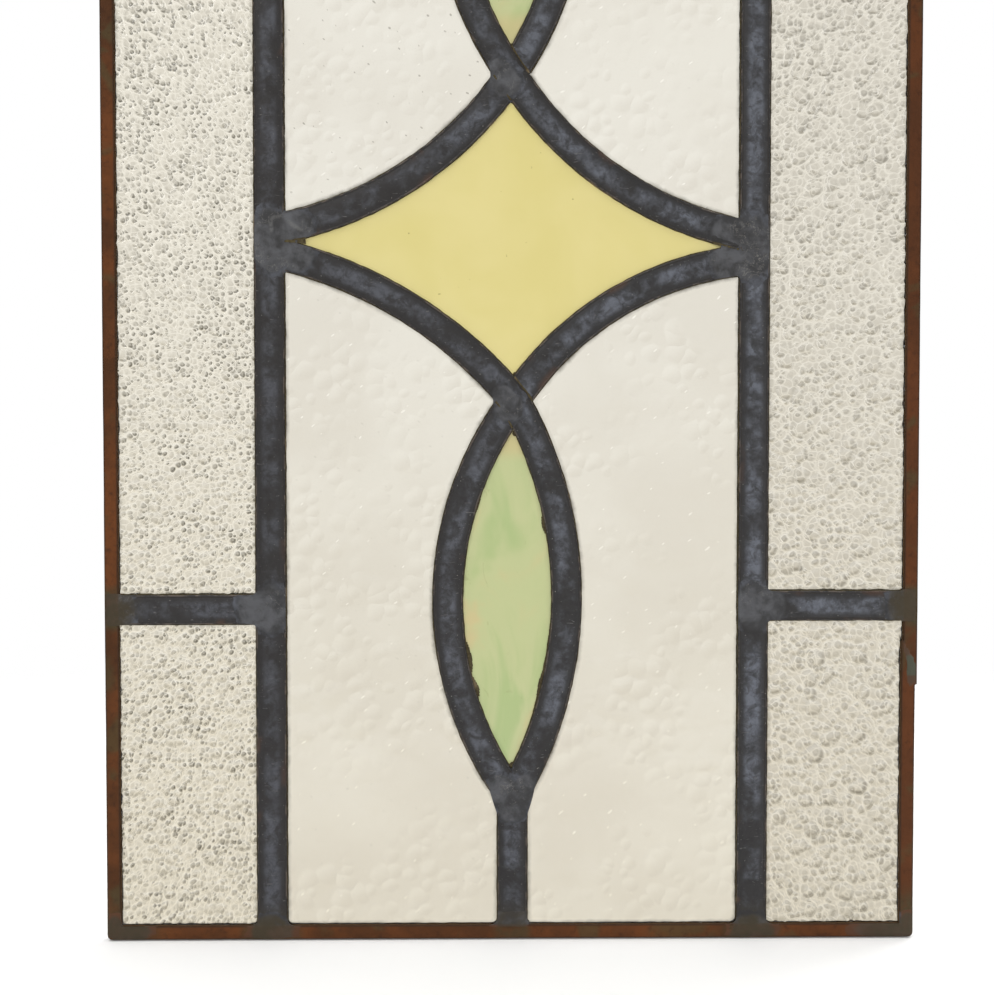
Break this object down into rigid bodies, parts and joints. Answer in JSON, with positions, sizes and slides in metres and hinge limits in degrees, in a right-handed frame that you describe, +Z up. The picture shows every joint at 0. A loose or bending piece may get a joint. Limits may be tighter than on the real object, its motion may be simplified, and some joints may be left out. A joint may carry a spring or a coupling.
{
  "type": "leaded stained glass window panel",
  "caption": "Upright leaded light: textured side panes, clear field, yellow diamond and green pointed eyes held by interlaced lead strips in a thin metal edge channel.",
  "frame": {"origin": "middle of the underside of the bottom edge channel, in the panel's middle plane", "axes": "+Z up along the panel's height, +X along its width to the right as seen, and the face seen looks along -Y"},
  "size_m": [0.33, 0.0072, 0.5715],
  "materials": {
    "lead": "dull grey lead with a bluish oxide and small scratches",
    "edge_channel": "brown oxidised thin metal channel with olive patches",
    "textured_glass": "clear rolled glass with a pebbled relief on one face",
    "clear_glass": "clear, faintly hammered glass with a few seeds",
    "yellow_glass": "flat yellow opal glass, smooth",
    "green_glass": "green opal glass with soft tan streaks, smooth",
    "solder": "grey tin and lead solder, softly lumpy",
    "cement": "dark dry glazing cement, crumbly"
  },
  "bodies": {
    "root": {"came_post_left": "lead", "came_post_right": "lead", "came_bar_left_lower": "lead", "came_bar_left_upper": "lead", "came_bar_right_lower": "lead", "came_bar_right_upper": "lead", "came_stem_lower": "lead", "came_stem_upper": "lead", "came_sweep_lower": "lead", "came_sweep_upper": "lead", "came_diamond_lower_right": "lead", "came_eye_lower_left": "lead", "came_diamond_upper_left": "lead", "came_eye_upper_right": "lead", "border_bottom": "edge_channel", "border_top": "edge_channel", "border_left": "edge_channel", "border_right": "edge_channel", "border_right_splice": "edge_channel", "glass_side_left_lower": "textured_glass", "glass_side_left_middle": "textured_glass", "glass_side_left_upper": "textured_glass", "glass_side_right_lower": "textured_glass", "glass_side_right_middle": "textured_glass", "glass_side_right_upper": "textured_glass", "glass_field_lower_left": "clear_glass", "glass_field_lower_right": "clear_glass", "glass_field_upper_left": "clear_glass", "glass_field_upper_right": "clear_glass", "glass_diamond": "yellow_glass", "glass_eye_lower": "green_glass", "glass_eye_upper": "green_glass"}
  },
  "joints": []
}
